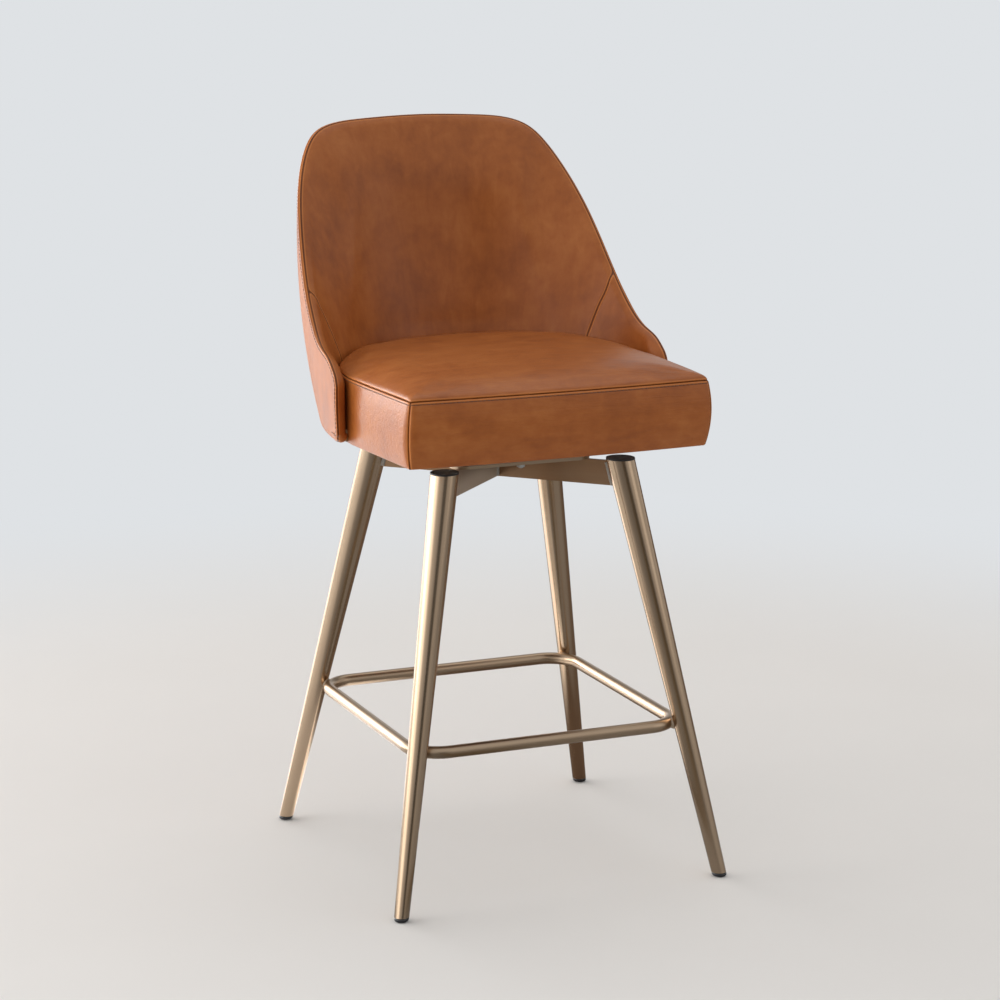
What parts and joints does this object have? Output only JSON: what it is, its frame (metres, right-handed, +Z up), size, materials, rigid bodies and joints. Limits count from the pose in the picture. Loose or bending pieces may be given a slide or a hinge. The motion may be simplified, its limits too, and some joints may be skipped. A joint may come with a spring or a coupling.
{
  "type": "bar stool with footrest",
  "caption": "Swivelling counter stool: boxed cushion in a padded wrap-around back, on splayed tapered metal legs with a cross brace and a square footrest ring.",
  "frame": {"origin": "on the floor, under the swivel's axis, midway between the four legs", "axes": "+Z up along the swivel's axis, -Y towards the front of the seat, +X to the right seen from the front"},
  "size_m": [0.4606, 0.5042, 0.946],
  "materials": {
    "bronze_metal": "brushed antique bronze",
    "zinc_steel": "zinc plated",
    "black_nylon": "satin moulded",
    "plywood": "raw birch plywood",
    "black_cloth": "non-woven cloth",
    "foam": "open-cell foam",
    "tan_leather": "smooth, satin"
  },
  "bodies": {
    "base": {"leg_front_left": "bronze_metal", "leg_cap_front_left": "black_nylon", "glide_front_left": "black_nylon", "leg_front_right": "bronze_metal", "leg_cap_front_right": "black_nylon", "glide_front_right": "black_nylon", "leg_rear_left": "bronze_metal", "leg_cap_rear_left": "black_nylon", "glide_rear_left": "black_nylon", "leg_rear_right": "bronze_metal", "leg_cap_rear_right": "black_nylon", "glide_rear_right": "black_nylon", "footrest_ring": "bronze_metal", "footrest_welds": "bronze_metal", "brace_bar_lower": "bronze_metal", "brace_bar_upper": "bronze_metal", "brace_centre_welds": "bronze_metal", "brace_leg_welds": "bronze_metal", "mount_plate": "bronze_metal", "mount_plate_welds": "bronze_metal", "swivel_lower_plate": "zinc_steel", "swivel_rivet": "zinc_steel", "swivel_bolts": "zinc_steel", "swivel_nuts": "zinc_steel"},
    "ball_ring": {"ball_cage": "zinc_steel", "bearing_balls": "zinc_steel"},
    "seat": {"swivel_upper_plate": "zinc_steel", "seat_bolts": "zinc_steel", "seat_t_nuts": "zinc_steel", "spacer_board": "plywood", "dust_cover": "black_cloth", "seat_board": "plywood", "seat_foam": "foam", "seat_cover": "tan_leather", "shell_screws": "zinc_steel", "back_plywood": "plywood", "back_outer_cover": "tan_leather", "back_rim_roll": "tan_leather", "back_inner_panel": "tan_leather", "wing_pad_left": "tan_leather", "wing_pad_right": "tan_leather"}
  },
  "joints": [
    {"name": "seat_swivel", "type": "hinge", "parent": "base", "child": "seat", "pos_m": [0, 0, 0.5465], "axis": [0, 0, 1], "continuous": true},
    {"name": "ball_ring_spin", "type": "hinge", "parent": "base", "child": "ball_ring", "pos_m": [0, 0, 0.5465], "axis": [0, 0, 1], "continuous": true}
  ],
  "couplings": [
    {"joint": "ball_ring_spin", "follows": "seat_swivel", "ratio": 0.5}
  ]
}
